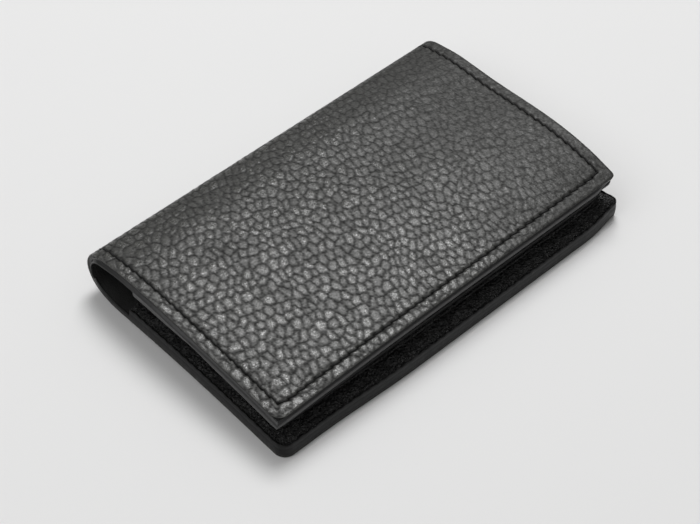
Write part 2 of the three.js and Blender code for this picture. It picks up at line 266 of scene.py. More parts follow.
class Sheet:
    """A rectangular grid with rounded corners and a rim on its free edges.

    a runs away from the open edge, half is half the width, and b is measured in from the nearer side.
    corner holds the left and right radius. rim is a list of (out, depth) steps from the face's edge round to
    the back; a depth may depend on a and x. The near end has a rim if near is true, and the far end if
    far_corner gives its radius. pointed is the stretch of steps over which the left corners turn square.
    """

    def __init__(
        self,
        length,
        half,
        step,
        rim,
        corner=CORNERS,
        near=True,
        far_corner=None,
        shift=0.0,
        pointed=None,
    ):
        self.rim, self.near, self.far = rim, near, far_corner is not None
        steps = len(rim)
        # Grid lines across and along, with one more line past each free edge for each step of the rim.
        ring = EDGE_STEP * np.arange(steps, 0, -1)
        across = np.linspace(-half, half, int(round(2 * half / step)) + 1)
        columns = np.concatenate([-half - ring, across, half + ring[::-1]])
        along = np.linspace(0, length, int(round(length / step)) + 1)
        before = -ring if near else []
        after = length + ring[::-1] if self.far else []
        a, side = np.meshgrid(np.concatenate([before, along, after]), columns, indexing="ij")
        self.first, self.last = len(before), a.shape[0] - 1 - len(after)
        # Distance in from the nearer end and from the nearer side, and which step of the rim each point is.
        b = half - np.abs(side)
        far_half = self.far & (a > length / 2)
        from_end = np.where(far_half, length - a, a)
        if not near:
            from_end = np.where(far_half, from_end, np.maximum(from_end, 0) + 2 * half)
        radius = np.where(far_half, far_corner or 0, np.where(side > 0, corner[1], corner[0]))
        inset, larger = np.minimum(from_end, b), np.maximum(from_end, b)
        self.ring = np.where(inset < -EDGE_STEP / 2, np.rint(-inset / EDGE_STEP), 0).astype(int)
        outs = np.array([0.0] + [out for out, _ in rim])
        drawn_in = np.where(self.ring > 0, -outs[self.ring], inset)
        if pointed:
            last_steps = np.where(self.ring > steps - UNTUCKED_STEPS, drawn_in, 0)
            tucked = np.maximum(TUCK * (self.ring / steps) ** 2, last_steps)
            right_end = ease(side, half - TUCK_START, half - TUCK_FULL)
            drawn_in = np.where(self.ring > 0, drawn_in + (tucked - drawn_in) * right_end, drawn_in)
        # The square corners are bent round: each ring of the grid follows the corner's arc.
        turning = larger < radius
        theta = np.where(turning, math.pi / 4 * (radius - larger) / np.maximum(radius - inset, 1e-9), 0)
        reach = radius - drawn_in
        if pointed:
            reach = reach * np.cos(theta) ** (-POINT_POWER * ease(self.ring, *pointed) * (side < 0))
        smaller = np.where(turning, radius - reach * np.cos(theta), drawn_in)
        larger = np.where(turning, radius - reach * np.sin(theta), larger)
        # Back to a and x.
        end_first = from_end <= b
        from_end = np.where(end_first, smaller, larger)
        b = np.where(end_first, larger, smaller)
        if not near:
            from_end = np.where(far_half, from_end, np.maximum(a, 0))
        self.a = np.where(far_half, length - from_end, from_end) + shift
        self.x = np.where(np.abs(side) < 1e-9, 0, np.sign(side) * (half - b))
        self.inset = np.where(self.ring > 0, 0, np.maximum(inset, 0))

    def depth(self, face):
        """Depths of the whole grid: face(a, x, inset) on the face, and the rim's steps round it."""
        depth = face(self.a, self.x, self.inset)
        for k, (_, step_depth) in enumerate(self.rim, start=1):
            here = self.ring == k
            depth[here] = step_depth(self.a[here], self.x[here]) if callable(step_depth) else step_depth
        return depth

    def back_points(self, depth):
        """Inner columns of the back, between the last step of the rim on one side and the other."""
        share = np.linspace(0, 1, BACK_COLUMNS + 2)[1:-1]
        rows = slice(self.first, self.last + 1)
        return [grid[rows, :1] * (1 - share) + grid[rows, -1:] * share for grid in (self.a, self.x, depth)]

    def faces(self, flip):
        """Corner lists of the grid, the back and the caps, and how far round the rim each one is."""
        rows, columns = self.a.shape
        steps = len(self.rim)
        index = np.arange(rows * columns).reshape(rows, columns)
        count = self.last - self.first + 1
        inner = rows * columns + np.arange(count * BACK_COLUMNS).reshape(count, BACK_COLUMNS)
        rows_kept = slice(self.first, self.last + 1)
        back = np.hstack([index[rows_kept, :1], inner, index[rows_kept, -1:]])
        found = np.stack(quad_corners(index), axis=-1).reshape(-1, 4).tolist()
        found += np.stack(quad_corners(back), axis=-1)[..., ::-1].reshape(-1, 4).tolist()
        ring_of = np.maximum.reduce(quad_corners(self.ring)).ravel().tolist()
        ring_of += [steps] * ((count - 1) * (BACK_COLUMNS + 1))
        left, right = index[:, 0], index[:, -1]
        head, tail = slice(1, self.first), slice(self.last + 1, rows - 1)
        opening = back[0] if self.near else back[0][1:-1]
        closing = back[-1] if self.far else back[-1][1:-1]
        found.append(np.concatenate([index[0], right[head], opening[::-1], left[head][::-1]]).tolist())
        found.append(np.concatenate([closing, right[tail], index[-1][::-1], left[tail][::-1]]).tolist())
        ring_of += [steps] * 2
        if flip:
            found = [corners[::-1] for corners in found]
        return found, ring_of


def make_object(name, points, faces, materials, material_of=None, sharp=48):
    """A smooth-shaded object from points in millimetres."""
    mesh = bpy.data.meshes.new(name)
    mesh.from_pydata((points * MM).tolist(), [], faces)
    for material in materials:
        mesh.materials.append(material)
    if material_of is not None:
        mesh.polygons.foreach_set("material_index", material_of)
    mesh.polygons.foreach_set("use_smooth", [True] * len(mesh.polygons))
    mesh.set_sharp_from_angle(angle=math.radians(sharp))
    mesh.validate()
    made = bpy.data.objects.new(name, mesh)
    bpy.context.scene.collection.objects.link(made)
    return made


def store(obj, name, values):
    """Keeps one number, or one vector, for each point, for the materials to read."""
    values = np.asarray(values, np.float32)
    kind = "FLOAT_VECTOR" if values.ndim == 2 else "FLOAT"
    attribute = obj.data.attributes.new(name, kind, "POINT")
    attribute.data.foreach_set("vector" if values.ndim == 2 else "value", values.ravel())


# ---- From the flat strip to the case ----
CURL, CURL_REACH = 1.2, 9  # the back cover's right front corner curls up
BOW, BOW_START_Y, BOW_LENGTH = 0.9, -31, 60  # its left side is bowed off the table
SWELL, SWELL_REACH = 0.9, 14  # its open edge swells outwards
SWELL_RISES, SWELL_FALLS = (-45, -15), (42, 54)  # along the spine
SETTLE_FROM_Y = 9  # the front cover is soft from here to its open edge
FULL_END, SUNK_END = 0.32, 0.44  # its right end is full and its left end sunk
EDGE_BOW = 1.1  # its open edge stands higher in the middle
RIGHT_RISE = 1.3  # its right side stands higher too
DROOP, DROOP_Y, DROOP_REACH = 0.5, 26.5, 4  # the spine is a little lower on the front cover's side


def back_settle(x, y, z):
    """The back cover's small departures from flat: one corner curls up, one side is bowed off the table."""
    corner = ease(CURL_REACH - np.hypot(x - HALF_LENGTH, y - BACK_EDGE_Y), 0, CURL_REACH)
    bowed = ease(-x, 5, HALF_LENGTH) * np.sin(math.pi * np.clip((y - BOW_START_Y) / BOW_LENGTH, 0, 1))
    return z + CURL * corner + BOW * bowed


def back_swell(x, y):
    """The back cover's open edge swells outwards a little past its middle."""
    along = ease(x, *SWELL_RISES) * (1 - ease(x, *SWELL_FALLS))
    return y - SWELL * along * ease(BACK_EDGE_Y + SWELL_REACH - y, 0, SWELL_REACH)


def front_settle(x, y, z):
    """The front cover's soft shape: flatter at one end, fuller at the other, its open edge bowed up."""
    share = np.clip((SETTLE_FROM_Y - y) / (SETTLE_FROM_Y - FRONT_EDGE_Y), 0, 1.05)
    lean = x / HALF_LENGTH
    belly = np.sin(math.pi * np.minimum(share, 1)) * (FULL_END * (1 + lean) - SUNK_END * (1 - lean))
    bow = EDGE_BOW * np.cos(0.5 * math.pi * lean) * share**2
    droop = DROOP * np.exp(-(((y - DROOP_Y) / DROOP_REACH) ** 2))
    across = ease(share, 0.1, 0.75) * (1 - 0.35 * ease(share, 0.8, 1))
    raised = RIGHT_RISE * np.maximum(lean, 0) ** 2 * across
    return z + belly + bow - droop + raised


def on_strip(s, x, depth):
    """A point of the closed case: on the back cover, round the spine, or on the front cover."""
    y, z, heading = section.at(s)
    taper = 1 - (1 - FRONT_HALF_LENGTH / HALF_LENGTH) * ease(s, BACK_SPLIT, STRIP_LENGTH)
    x = x * taper
    y = y - np.sin(heading) * depth
    z = z + np.cos(heading) * depth
    z = np.where(s > FRONT_SPLIT, front_settle(x, y, z), back_settle(x, y, z))
    y = np.where(s > BACK_SPLIT, y, back_swell(x, y))
    return np.stack([x, y, z], axis=-1)


# Distances along the whole strip, from distances on each of its pieces.
def along_back(a):
    return a


def along_spine(a):
    return BACK_SPLIT + a


def along_front(a):
    return STRIP_LENGTH - a


def from_back(a, x, depth):
    return on_strip(along_back(a), x, depth)


def from_spine(a, x, depth):
    return on_strip(along_spine(a), x, depth)


def from_front(a, x, depth):
    return on_strip(along_front(a), x, depth)


# ---- Seams ----
def seam_path(length, half, inset, corners):
    """The seam line on a flat sheet: down the left side, along the open edge and up the right side."""
    side = half - inset
    sides = []
    for corner in corners:
        turn = np.linspace(0, math.pi / 2, 7)
        bend = [(inset + corner - corner * math.sin(t), side - corner + corner * math.cos(t)) for t in turn]
        sides.append([(length, side)] + bend)
    left, right = sides
    return np.array([(a, -x) for a, x in left] + right[::-1])


def stitch_places(path, pitch):
    """Middle and direction of each stitch along a path, evenly spaced."""
    steps = np.linalg.norm(np.diff(path, axis=0), axis=1)
    along = np.concatenate([[0], np.cumsum(steps)])
    count = int(round(along[-1] / pitch))
    ends = np.linspace(0, along[-1], count + 1)
    at = np.stack([np.interp(ends, along, path[:, k]) for k in (0, 1)], axis=-1)
    direction = at[1:] - at[:-1]
    return (at[1:] + at[:-1]) / 2, direction / np.linalg.norm(direction, axis=1, keepdims=True)


CREASE_WIDTH, CREASE_DEPTH = 0.25, 0.4
CREASE_PAST_END = 0.2
HOLE_WIDTH, HOLE_DEPTH = 0.4, 0.24
STITCH_SLANT = 0.14  # each stitch lies a little across the seam


def seam_relief(a, x, places, directions):
    """How far a row of stitches pulls the leather in, at each point of a sheet."""
    flat_a, flat_x, pulled = a.ravel(), x.ravel(), np.zeros(a.size)
    for place, way in zip(places, directions):
        farther = np.maximum(np.abs(flat_a - place[0]), np.abs(flat_x - place[1]))
        near = np.nonzero(farther < STITCH_PITCH)[0]
        if not len(near):
            continue
        da, dx = flat_a[near] - place[0], flat_x[near] - place[1]
        along, off = da * way[0] + dx * way[1], dx * way[0] - da * way[1]
        off = off - STITCH_SLANT * along
        end = np.abs(along) - STITCH_PITCH / 2
        crease = CREASE_DEPTH * np.exp(-((off / CREASE_WIDTH) ** 2)) * (end < CREASE_PAST_END)
        holes = HOLE_DEPTH * np.exp(-(end**2 + off**2) / HOLE_WIDTH**2)
        pulled[near] = np.maximum(pulled[near], crease + holes)
    return pulled.reshape(a.shape)


STITCH_RINGS, STITCH_SIDES = 9, 8
STITCH_REACH = 0.48 * STITCH_PITCH  # from a stitch's middle to its end
STITCH_DIP = 0.3
STRIP_STITCH_DEPTH, PANEL_STITCH_DEPTH = 0.24, 0.16


def stitches(name, place, places, directions, depth, material, flip):
    """A row of stitches, each a short length of thread that dips into its holes at both ends."""
    t = np.linspace(-1, 1, STITCH_RINGS)
    thick = THREAD_RADIUS * np.sqrt(np.clip(1 - t**8, 0.12, 1))[:, None]
    angles = np.arange(STITCH_SIDES) * 2 * math.pi / STITCH_SIDES
    ring = np.arange(STITCH_SIDES)
    following = np.roll(ring, -1)
    points, flats, faces = [], [], []
    for number, (middle, way) in enumerate(zip(places, directions)):
        way = np.array([way[0] - STITCH_SLANT * way[1], way[1] + STITCH_SLANT * way[0]])
        centre = middle + np.outer(t * STITCH_REACH, way)
        dip = (depth + STITCH_DIP * np.abs(t) ** 4)[:, None]
        a = centre[:, :1] - way[1] * thick * np.cos(angles)
        x = centre[:, 1:] + way[0] * thick * np.cos(angles)
        down = dip - thick * np.sin(angles)
        points.append(place(a, x, down).reshape(-1, 3))
        flats.append(np.stack([x, a, down], axis=-1).reshape(-1, 3))
        base = number * STITCH_RINGS * STITCH_SIDES
        for k in range(STITCH_RINGS - 1):
            here = base + k * STITCH_SIDES
            after = here + STITCH_SIDES
            quads = np.stack([here + ring, after + ring, after + following, here + following], axis=-1)
            faces += quads.tolist()
        faces.append((base + ring[::-1]).tolist())
        faces.append((base + (STITCH_RINGS - 1) * STITCH_SIDES + ring).tolist())
    if flip:
        faces = [corners[::-1] for corners in faces]
    made = make_object(name, np.concatenate(points), faces, [material], sharp=80)
    store(made, "flat", np.concatenate(flats))
    return made


# ---- Materials ----
RANGE_SOCKETS = ("From Min", "From Max", "To Min", "To Max")


class Nodes:
    """Short names for building one material's node tree."""

    def __init__(self, name):
        self.material = bpy.data.materials.new(name)
        self.material.use_nodes = True
        self.tree = self.material.node_tree
        self.shader = self.tree.nodes["Principled BSDF"]

    def add(self, kind, **inputs):
        node = self.tree.nodes.new(kind)
        for name, value in inputs.items():
            self.put(node, name, value)
        return node

    def put(self, node, name, value):
        socket = node.inputs[name]
        if isinstance(value, bpy.types.NodeSocket):
            self.tree.links.new(value, socket)
        else:
            socket.default_value = value

    def attribute(self, name, output="Fac"):
        node = self.tree.nodes.new("ShaderNodeAttribute")
        node.attribute_name = name
        return node.outputs[output]

    def noise(self, vector, scale, detail=3.0, roughness=0.55):
        node = self.add("ShaderNodeTexNoise", Vector=vector, Scale=scale, Detail=detail, Roughness=roughness)
        return node.outputs["Fac"]

    def wrinkles(self, vector, scale):
        """Distance to the walls of small cells, as fine leather creases have."""
        node = self.add("ShaderNodeTexVoronoi", Vector=vector, Scale=scale)
        node.feature = "DISTANCE_TO_EDGE"
        return node.outputs["Distance"]

    def ramp(self, value, low, high, from_low=0.0, from_high=1.0):
        node = self.add("ShaderNodeMapRange", Value=value)
        for name, number in zip(RANGE_SOCKETS, (from_low, from_high, low, high)):
            node.inputs[name].default_value = number
        return node.outputs["Result"]

    def mix(self, share, first, second):
        node = self.tree.nodes.new("ShaderNodeMix")
        node.data_type = "RGBA"
        self.put(node, "Factor", share)
        node.inputs[6].default_value = (*first, 1)
        node.inputs[7].default_value = (*second, 1)
        return node.outputs[2]

    def math(self, operation, first, second):
        node = self.tree.nodes.new("ShaderNodeMath")
        node.operation = operation
        self.tree.links.new(first, node.inputs[0])
        self.tree.links.new(second, node.inputs[1])
        return node.outputs[0]

    def bump(self, height, distance, normal=None):
        node = self.add("ShaderNodeBump", Height=height, Distance=distance)
        if normal is not None:
            self.put(node, "Normal", normal)
        return node.outputs["Normal"]


def pebbled_leather():
    """Black shrunken-grain cowhide: domed tops with a soft gloss, duller creases, a fine skin texture."""
    n = Nodes("pebbled_leather")
    flat = n.attribute("flat", "Vector")
    top = n.attribute("grain")
    pores = n.noise(flat, 1.7, 1.0, 0.5)
    creases = n.wrinkles(flat, 2.0)
    broad = n.noise(flat, 0.12, 2.0)
    # The colour runs from near-black in the creases to much lighter on the pebble tops: painted shade in the
    # creases and a painted highlight on the tops. The pores add tone that differs at random.
    shade = n.math("MULTIPLY", top, n.ramp(pores, 0.6, 1.25, 0.35, 0.65))
    n.put(n.shader, "Base Color", n.mix(shade, (0.005, 0.005, 0.0046), (0.056, 0.0562, 0.0518)))
    dull = n.math("ADD", n.ramp(top, 0.74, 0.16), n.ramp(broad, -0.03, 0.03, 0.3, 0.7))
    n.put(n.shader, "Roughness", dull)
    n.put(n.shader, "Specular IOR Level", n.ramp(top, 0.26, 0.74))
    skin = n.bump(n.ramp(creases, 0.0, 1.0, 0.0, 0.14), 0.00002)
    n.put(n.shader, "Normal", n.bump(pores, 0.00008, normal=skin))
    return n.material


def painted_edge(name, dark, light, gloss):
    """Black edge paint, burnished smooth over the stacked leather."""
    n = Nodes(name)
    n.put(n.shader, "Specular IOR Level", gloss)
    flat = n.attribute("flat", "Vector")
    streaks = n.noise(flat, 0.5, 3.0)
    n.put(n.shader, "Base Color", n.mix(streaks, (dark,) * 3, (light,) * 3))
    n.put(n.shader, "Roughness", n.ramp(streaks, 0.30, 0.46, 0.3, 0.7))
    n.put(n.shader, "Normal", n.bump(n.noise(flat, 1.2, 3.0), 0.00006))
    return n.material


def lining_leather():
    """Thin smooth lining leather with a faint fine grain."""
    n = Nodes("lining_leather")
    flat = n.attribute("flat", "Vector")
    creases = n.wrinkles(flat, 1.7)
    pores = n.noise(flat, 3.0, 4.0)
    n.put(n.shader, "Base Color", n.mix(pores, (0.004, 0.0039, 0.0038), (0.0075, 0.0074, 0.0072)))
    n.put(n.shader, "Roughness", n.ramp(pores, 0.52, 0.66, 0.3, 0.7))
    skin = n.bump(n.ramp(creases, 0.0, 1.0, 0.0, 0.16), 0.00005)
    n.put(n.shader, "Normal", n.bump(pores, 0.00006, normal=skin))
    return n.material


def gusset_leather():
    """Soft folded leather, crumpled and dull, with small bright creases. Its colour is painted far darker
    than the other leather: painted shade, for it lies in the shadow between the covers.
    """
    n = Nodes("gusset_leather")
    flat = n.attribute("flat", "Vector")
    creases = n.wrinkles(flat, 1.1)
    pores = n.noise(flat, 1.9, 5.0, 0.65)
    # Near-black colour: painted shade for the gusset's place between the covers.
    n.put(n.shader, "Base Color", n.mix(pores, (0.001, 0.001, 0.001), (0.004, 0.004, 0.0039)))
    n.put(n.shader, "Roughness", n.ramp(pores, 0.16, 0.52, 0.35, 0.65))
    n.put(n.shader, "Specular IOR Level", 0.6)
    skin = n.bump(n.ramp(creases, 0.0, 1.0, 0.0, 0.25), 0.0005)
    n.put(n.shader, "Normal", n.bump(pores, 0.0004, normal=skin))
    return n.material


def waxed_thread():
    """Black twisted polyester."""
    n = Nodes("waxed_thread")
    flat = n.attribute("flat", "Vector")
    fibres = n.noise(flat, 6.0, 2.0)
    n.put(n.shader, "Base Color", n.mix(fibres, (0.002, 0.002, 0.002), (0.005, 0.005, 0.005)))
    n.put(n.shader, "Specular IOR Level", 0.25)
    n.put(n.shader, "Roughness", n.ramp(fibres, 0.5, 0.7, 0.3, 0.7))
    n.put(n.shader, "Normal", n.bump(fibres, 0.0001))
    return n.material


def stiffener_board():
    """Grey-brown pressed board."""
    n = Nodes("stiffener_board")
    flat = n.attribute("flat", "Vector")
    fibres = n.noise(flat, 1.0, 5.0)
    n.put(n.shader, "Base Color", n.mix(fibres, (0.2, 0.18, 0.15), (0.34, 0.31, 0.27)))
    n.put(n.shader, "Roughness", n.ramp(fibres, 0.8, 0.95, 0.3, 0.7))
    n.put(n.shader, "Normal", n.bump(fibres, 0.00005))
    return n.material


PEBBLED = pebbled_leather()
PAINT = painted_edge("painted_edge", 0.022, 0.032, 0.5)
# A far darker, less glossy copy of the edge paint: the lower gloss is a duller finish, and the darker colour
# is painted shade for edges that lie in shadow.
DULL_SHADED_PAINT = painted_edge("dull_shaded_painted_edge", 0.004, 0.009, 0.2)
LINING = lining_leather()
SHADED_GUSSET = gusset_leather()
THREAD = waxed_thread()
BOARD = stiffener_board()


# ---- Building one sheet as an object ----
def sheet_object(name, sheet, place, face, flip, materials, paint_from=None, grain_and_shade_of=None):
    """The sheet laid in its place, with the flat position, and the grain with its painted shade, kept for
    its material.
    """
    depth = sheet.depth(face)
    a, x, back_depth = sheet.back_points(depth)
    parts = [(sheet.a, sheet.x, depth), (a, x, back_depth)]
    points = np.concatenate([place(*part).reshape(-1, 3) for part in parts])
    faces, rings = sheet.faces(flip)
    painted = [int(paint_from is not None and ring >= paint_from) for ring in rings]
    made = make_object(name, points, faces, materials, painted)
    flats = [np.stack([part[1], part[0], part[2]], axis=-1).reshape(-1, 3) for part in parts]
    store(made, "flat", np.concatenate(flats))
    if grain_and_shade_of is not None:
        tops = np.where(sheet.ring > 0, RIM_PAINTED_SHADE, grain_and_shade_of(sheet)).ravel()
        store(made, "grain", np.concatenate([tops, np.zeros(a.size)]))
    return made


# The front cover's edge from its face to its back: a rolled shoulder, a dark groove, then a full painted
# ridge that also covers the slip pocket's edge.
EDGE_ROLL, ROLL_WIDTH = 0.22, 0.6
SLIP_HANG_FROM = 20  # distance from the open edge where the slip pocket starts to hang free
SLIP_EDGE_FADE = 14


def beside_slip(full, bare):
    """A rim depth on the front cover: one value where the slip pocket is sewn in, another past it."""
    return lambda a, x: bare + (full - bare) * ease(SLIP_HANG_FROM + SLIP_EDGE_FADE - a, 0, SLIP_EDGE_FADE)


COVER_RIM = [
    (0.0, 0.36),
    (-0.05, 0.52),
    (-0.20, 0.68),
    (-0.38, 0.84),
    (-0.50, 1.02),
    (-0.50, 1.20),
    (-0.38, 1.36),
    (-0.16, 1.50),
    (0.06, 1.64),
    (0.24, beside_slip(1.88, 1.76)),
    (0.36, beside_slip(2.18, 1.86)),
    (0.44, beside_slip(2.50, 1.95)),
    (0.46, beside_slip(2.78, 2.02)),
    (0.38, beside_slip(2.98, 2.08)),
    (0.16, beside_slip(3.07, 2.12)),
    (-0.34, beside_slip(3.0, 2.02)),
    (-0.36, SKIN),
]
SPINE_RIM = [(out, depth(STRIP_LENGTH, 0) if callable(depth) else depth) for out, depth in COVER_RIM]
POINTED_STEPS = (5, 11)  # the front cover's left corners turn square between these steps of its rim
PAINT_STEP = 4  # every rim is painted from this step on


def rolled(inset):
    """How far the face has turned down near its edge."""
    return EDGE_ROLL * np.clip(1 - inset / ROLL_WIDTH, 0, 1) ** 2


def ends_on(body_a, body_b, start_s, end_s):
    """Two bodies and the points between which a piece passes from one to the other."""
    ends = []
    for s in (start_s, end_s):
        y, z, _ = section.at(s)
        ends.append(Vector((0, float(y), float(z))) * MM)
    return (body_a, body_b, *ends)


flat_end_back = flat_end_y - BACK_EDGE_Y
flat_end_front = STRIP_LENGTH - front_at(flat_end_y)
BENDS = {
    "back": ends_on("back_cover", "spine_back", flat_end_back, BACK_SPLIT),
    "spine": ends_on("spine_back", "spine_front", BACK_SPLIT, FRONT_SPLIT),
    "front": ends_on("spine_front", "front_cover", FRONT_SPLIT, flat_end_front),
}


# ---- Covers and spine ----
SEAM_CALM, SEAM_CALM_WIDTH = 0.5, 0.8  # the pull of the thread flattens the grain beside it
RELIEF_FADE, SHADE_FADE = 0.25, 0.12  # the grain is shallower and duller towards the right end, and its colour darker there: painted shade where less highlight falls
PAINTED_SHADE_PULL = (0.18, 0.36)  # how far the leather is pulled in where its colour is painted as dark as a crease: painted shade in the seam's groove
RIM_PAINTED_SHADE = 0.4  # the smooth turned edge is coloured like a half-risen pebble, darker than the tops: painted shade where the edge rolls down into its groove


def strip_face(along, seam):
    """The pebbled face of a length of strip with its seam, and its grain with painted shade for the
    material.
    """
    places, directions = seam

    def grain_on(a, x):
        return grain(along(a), x)

    def face(a, x, inset):
        calm = 1 - SEAM_CALM * np.exp(-(((inset - SEAM_INSET) / SEAM_CALM_WIDTH) ** 2))
        fade = 1 - RELIEF_FADE * x / HALF_LENGTH
        relief = GRAIN_DEPTH * calm * fade * ease(inset, -0.2, 1.0) * (1 - grain_on(a, x))
        return rolled(inset) + relief + seam_relief(a, x, places, directions)

    def tops(sheet):
        # The colour value: the grain, painted darker in the seam's groove and towards the right end, both as
        # painted shade.
        pulled = seam_relief(sheet.a, sheet.x, places, directions)
        fade = 1 - SHADE_FADE * ease(sheet.x, 0, HALF_LENGTH)
        return grain_on(sheet.a, sheet.x) * (1 - ease(pulled, *PAINTED_SHADE_PULL)) * fade

    return face, tops


def edge_softened(depth, width, inset):
    """How far thin leather has thinned out near its cut edge."""
    return depth * np.clip(1 - inset / width, 0, 1) ** 2


def lining_face(a, x, inset):
    waviness = 0.03 * noise(x / 6, a / 6, 31)
    return LINING_DEPTHS[0] - edge_softened(0.05, 0.4, inset) + np.minimum(waviness, 0)


def finish_piece(obj, nodes, part=None, body=None):
    """Hides the CAD nodes a piece stands in for, and parents it to the body it moves with; a piece of the
    strip is only baked in place.
    """
    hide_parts(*nodes)
    if part:
        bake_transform(obj)
    else:
        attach(obj, body)


def joined(rows):
    """Several rows of stitches as one: all their places and all their directions."""
    return tuple(np.concatenate(group) for group in zip(*rows))


STRIP_NODES = {  # leather, lining and thread
    "back": (["back_outer_leather"], ["back_lining"], ["back_seam_thread"]),
    "front": (["front_outer_leather"], ["front_lining"], ["front_seam_thread"]),
    "spine": (
        ["spine_leather_back", "spine_leather_front"],
        ["spine_lining_back", "spine_lining_front"],
        [f"spine_seam_{end}_{side}" for end in ("back", "front") for side in ("left", "right")],
    ),
}
LINING_RIM = [(0.0, 1.95), (-0.02, LINING_DEPTHS[1])]


def strip_part(part, place, along, length, flip, seams, rim, paint, corners=CORNERS):
    """One length of the strip: its pebbled leather, its lining and its stitches.

    along turns a distance on this length into one on the whole strip, and place lays its points on the case.
    """
    leather_nodes, lining_nodes, seam_nodes = STRIP_NODES[part]
    near = part != "spine"
    seam = joined([stitch_places(path, STITCH_PITCH) for path in seams])
    face, grain_and_shade_of = strip_face(along, seam)
    pointed = POINTED_STEPS if part == "front" else None
    sheet = Sheet(length, HALF_LENGTH, FACE_STEP, rim, corners, near=near, pointed=pointed)
    made = sheet_object(f"{part}_leather", sheet, place, face, flip, [PEBBLED, paint], PAINT_STEP, grain_and_shade_of)
    finish_piece(made, leather_nodes, part)

    from_edge = LINING_INSET * near
    lining_corners = [radius - LINING_INSET for radius in CORNERS]
    half = HALF_LENGTH - LINING_INSET
    sheet = Sheet(length - from_edge, half, LINING_STEP, LINING_RIM, lining_corners, near, shift=from_edge)
    made = sheet_object(f"{part}_lining_sheet", sheet, place, lining_face, not flip, [LINING])
    finish_piece(made, lining_nodes, part)

    row = stitches(f"{part}_stitches", place, *seam, STRIP_STITCH_DEPTH, THREAD, flip=flip)
    finish_piece(row, seam_nodes, part)


LIP_RIPPLE = 0.09  # the stitches under the lip pucker its top edge
OPEN_EDGE = 1.5  # nearer than this to the open edge, the pucker runs along x


def gusset_zone(with_gusset, bare, ripple=0.0):
    """A rim depth on the back cover: one value beside the gusset, another past the gusset's end."""

    def depth(a, x):
        run = np.where(a < OPEN_EDGE, x, a)
        puckered = with_gusset + ripple * np.cos(2 * math.pi * run / STITCH_PITCH)
        return np.where(a < GUSSET_END_Y - BACK_EDGE_Y, puckered, bare)

    return depth


BACK_RIM = [
    (-0.01, 0.40),
    (-0.09, 0.50),
    (-0.12, 0.58),
    (-0.06, 0.66),
    (0.0, 0.80),
    (0.03, 1.10),
    (0.04, gusset_zone(1.7, 1.3)),
    (0.03, gusset_zone(2.4, 1.6)),
    (0.0, gusset_zone(2.9, 1.8)),
    (-0.05, gusset_zone(3.12, 1.92)),
    (-0.04, gusset_zone(3.3, 1.98)),
    (-0.05, gusset_zone(3.8, 2.02)),
    (-0.12, gusset_zone(4.2, 2.06, 0.6 * LIP_RIPPLE)),
    (-0.26, gusset_zone(4.38, 2.1, LIP_RIPPLE)),
    (-0.42, gusset_zone(4.36, 2.12, LIP_RIPPLE)),
    (-0.48, gusset_zone(4.2, 2.0)),
    (-0.52, SKIN),
]

front_length = STRIP_LENGTH - FRONT_SPLIT
spine_length = FRONT_SPLIT - BACK_SPLIT
seam_x = HALF_LENGTH - SEAM_INSET
side_seams = [np.array([(0, x), (spine_length, x)]) for x in (-seam_x, seam_x)]
back_seam = seam_path(BACK_SPLIT, HALF_LENGTH, SEAM_INSET, SEAM_CORNERS)
front_seam = seam_path(front_length, HALF_LENGTH, SEAM_INSET, SEAM_CORNERS)
# The back cover's edge takes the darker paint: partly a duller finish, partly painted shade for its edge in
# the shadow under the front cover.
strip_part("back", from_back, along_back, BACK_SPLIT, False, [back_seam], BACK_RIM, DULL_SHADED_PAINT, BACK_CORNERS)
strip_part("front", from_front, along_front, front_length, True, [front_seam], COVER_RIM, PAINT)
strip_part("spine", from_spine, along_spine, spine_length, False, side_seams, SPINE_RIM, PAINT)


def board(part, place, length, flip):
    """The stiffener glued between a cover's leather and its lining."""
    thin, thick = BOARD_DEPTHS
    rim = [(0.0, thick)]
    half = HALF_LENGTH - BOARD_INSET
    sheet = Sheet(length, half, BOARD_STEP, rim, shift=BOARD_INSET, far_corner=BOARD_CORNER)
    made = sheet_object(f"{part}_board", sheet, place, lambda a, x, inset: thin + 0 * a, flip, [BOARD])
    finish_piece(made, [f"{part}_stiffener_board"], body=f"{part}_cover")


board("back", from_back, BOARD_SPINE_Y - BACK_EDGE_Y - BOARD_INSET, False)
board("front", from_front, front_at(BOARD_SPINE_Y) - BOARD_INSET, True)

# ---- Slip pocket inside the front cover ----
SLIP_SAG, SLIP_SAG_FULL = 1.5, 0.86  # how far it hangs away, and the share of its length where it's full
SLIP_INSET = 0.15
SLIP_CORNERS = (1.2, 0.8)
DRAWN_IN, DRAWN_IN_REACH = 0.7, 9
slip_length = front_at(SLIP_MOUTH_Y)
slip_inner = SLIP_DEPTHS[0]


def slip_sag(a):
    """The pocket's leather hangs away from the cover towards its mouth."""
    return SLIP_SAG * ease(a, SLIP_HANG_FROM, SLIP_SAG_FULL * slip_length)


def slip_face(a, x, inset):
    waviness = 0.03 * noise(x / 5, a / 5, 41)
    return slip_inner + slip_sag(a) + waviness - edge_softened(0.06, 0.5, inset)


def slip_step(share):
    """A rim depth part of the way from the pocket's inner face back to the lining."""
    low = SLIP_DEPTHS[1]
    return lambda a, x: low + (slip_inner + slip_sag(a) - low) * share


SLIP_RIM = [
    (0.14, slip_step(0.96)),
    (0.24, slip_step(0.82)),
    (0.28, slip_step(0.60)),
    (0.28, slip_step(0.30)),
    (0.24, slip_step(0.08)),
    (0.10, slip_step(0.01)),
    (-0.5, slip_step(0.0)),
    (-1.5, slip_step(0.0)),
    (-2.2, lambda a, x: SLIP_DEPTHS[1] + slip_sag(a)),
]
slip_half = HALF_LENGTH - SLIP_INSET
slip = Sheet(slip_length - SLIP_INSET, slip_half, LINING_STEP, SLIP_RIM, SLIP_CORNERS, shift=SLIP_INSET)


